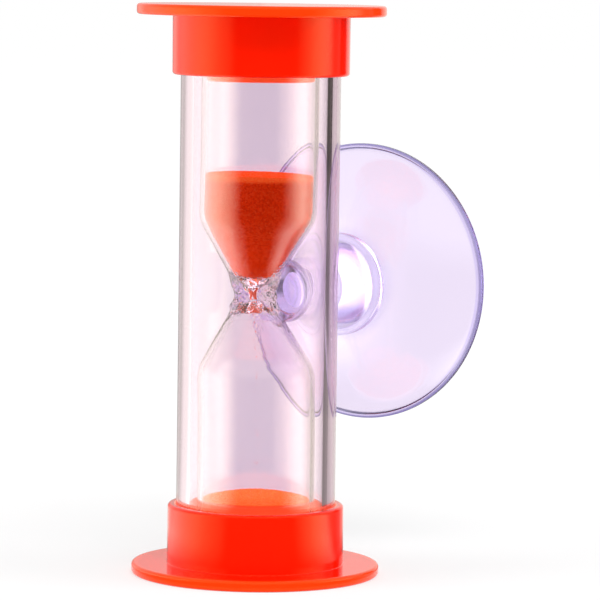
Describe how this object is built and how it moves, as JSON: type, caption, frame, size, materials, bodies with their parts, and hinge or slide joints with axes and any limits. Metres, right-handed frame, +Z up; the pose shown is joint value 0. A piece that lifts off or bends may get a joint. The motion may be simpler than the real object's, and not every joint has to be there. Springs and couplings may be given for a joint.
{
  "type": "sand timer",
  "caption": "Small sand timer: a glass double bulb with orange sand in a clear tube between two flanged orange caps, with a clear suction cup on the tube's back.",
  "frame": {"origin": "centre of the underside of the bottom cap", "axes": "+Z up along the timer's axis, +Y out of the back through the suction cup, +X to the right seen from the front"},
  "size_m": [0.045, 0.0515, 0.0893],
  "materials": {
    "cap_plastic": "glossy moulded",
    "clear_tube": "clear, polished",
    "bulb_glass": "clear, fire polished",
    "stopper_plastic": "satin moulded",
    "orange_sand": "fine dyed grains",
    "soft_clear_pvc": "clear soft moulding with a lavender tint"
  },
  "bodies": {
    "timer": {"bottom_cap": "cap_plastic", "top_cap": "cap_plastic", "outer_tube": "clear_tube", "glass_bulb": "bulb_glass", "lower_stopper": "stopper_plastic", "upper_stopper": "stopper_plastic", "upper_sand": "orange_sand", "sand_stream": "orange_sand", "lower_sand": "orange_sand"},
    "cup": {"suction_cup": "soft_clear_pvc"}
  },
  "joints": [
    {"name": "cup_swivel", "type": "hinge", "parent": "timer", "child": "cup", "pos_m": [0, 0, 0.0441], "axis": [0, 1, 0], "continuous": true}
  ]
}
